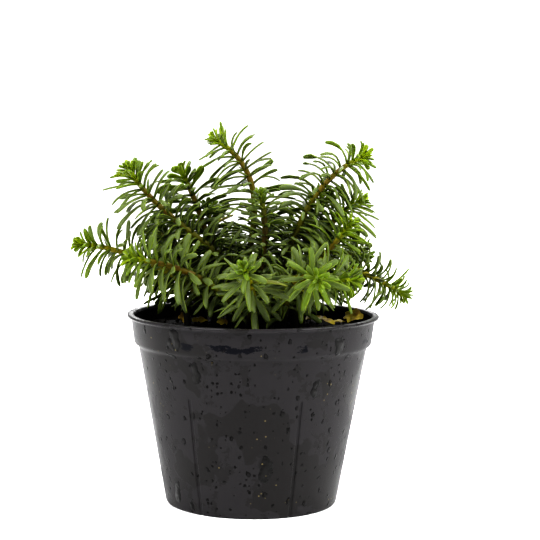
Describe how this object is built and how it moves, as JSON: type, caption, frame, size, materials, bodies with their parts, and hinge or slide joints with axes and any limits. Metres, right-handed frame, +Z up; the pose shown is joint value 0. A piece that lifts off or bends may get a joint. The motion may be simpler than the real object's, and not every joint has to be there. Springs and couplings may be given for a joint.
{
  "type": "potted rotala plant",
  "caption": "Clump of leafy aquarium stem plants with narrow whorled leaves, growing in peat in a round tapered plastic nursery pot.",
  "frame": {"origin": "centre of the pot's flat base, on the surface that it stands on", "axes": "+Z up along the pot's axis, -Y is the front that the picture shows, +X is to the right in it"},
  "size_m": [0.123, 0.094, 0.1367],
  "materials": {
    "pot_plastic": "charcoal black moulded plastic, semi-gloss, with wet patches",
    "peat": "dark damp peat, matt and crumbly",
    "rotala_green": "living stems and leaves, satin, yellow-green at the tips and dark green below",
    "dry_leaf": "fallen yellow-brown leaves, matt"
  },
  "bodies": {
    "root": {"pot": "pot_plastic", "soil": "peat", "shoot_left_upper": "rotala_green", "shoot_top": "rotala_green", "shoot_right_upper": "rotala_green", "shoot_left_low": "rotala_green", "shoot_right_low": "rotala_green", "shoot_left_front": "rotala_green", "shoot_right_front": "rotala_green", "shoot_front_right": "rotala_green", "shoot_front_centre": "rotala_green", "shoot_left_middle": "rotala_green", "shoot_right_middle": "rotala_green", "shoot_right_inner": "rotala_green", "shoot_centre": "rotala_green", "shoot_right_back": "rotala_green", "shoot_left_inner": "rotala_green", "shoot_back_centre": "rotala_green", "shoot_back_left": "rotala_green", "shoot_back_right": "rotala_green", "shoot_rear_left": "rotala_green", "shoot_rear_right": "rotala_green", "shoot_rear_low": "rotala_green", "shoot_rear_centre": "rotala_green", "fallen_leaf_wall": "dry_leaf", "fallen_leaf_long": "dry_leaf", "fallen_leaf_small": "dry_leaf", "fallen_leaf_left": "dry_leaf", "fallen_leaf_low": "dry_leaf", "fallen_leaf_centre": "dry_leaf", "fallen_leaf_scrap": "dry_leaf"}
  },
  "joints": []
}
